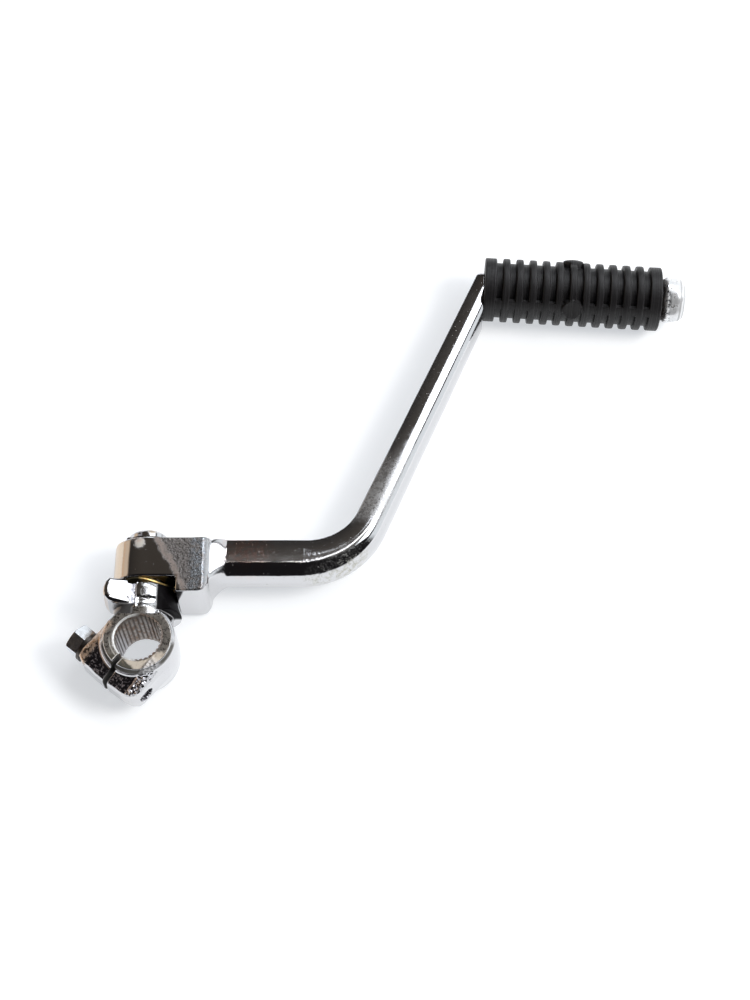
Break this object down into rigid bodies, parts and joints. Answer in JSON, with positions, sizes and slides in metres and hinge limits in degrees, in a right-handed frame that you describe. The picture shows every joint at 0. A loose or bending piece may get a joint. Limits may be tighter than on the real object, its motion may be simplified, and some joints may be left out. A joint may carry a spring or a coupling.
{
  "type": "folding kick start lever",
  "caption": "Folding chromed kick start lever: split splined clamp boss with pinch bolt, swivelling cranked arm and ribbed rubber pedal grip.",
  "frame": {"origin": "centre of the splined clamp bore, half way through the boss", "axes": "+Z along the bore axis towards the lever's outer face, +Y along the fold axis from the bore to the arm's hub, +X along the first stretch of the folded arm"},
  "size_m": [0.2382, 0.1892, 0.0266],
  "materials": {
    "chrome": "bright chrome plate over a forging, slightly wavy, with fine pits",
    "rubber": "matte black moulded rubber",
    "zinc_steel": "bright zinc plated steel",
    "dark_steel": "dark oiled spring steel",
    "yellow_zinc": "yellow passivated spring steel"
  },
  "bodies": {
    "boss": {"clamp_boss": "chrome", "pinch_bolt": "zinc_steel", "lock_washer": "dark_steel", "wave_washer": "yellow_zinc", "retaining_washer": "zinc_steel", "circlip": "dark_steel"},
    "arm": {"kick_arm": "chrome", "grip_rubber": "rubber", "detent_spring": "zinc_steel"},
    "ball": {"detent_ball": "zinc_steel"}
  },
  "joints": [
    {"name": "arm_swing", "type": "hinge", "parent": "boss", "child": "arm", "pos_m": [0, 0.0326, 0], "axis": [0, -1, 0], "range_deg": [0, 90]},
    {"name": "ball_click", "type": "slide", "parent": "arm", "child": "ball", "axis": [-1, 0, 0], "range_m": [0, 0.0008], "stiffness_N_per_m": 400, "springref_m": 0.0008}
  ]
}
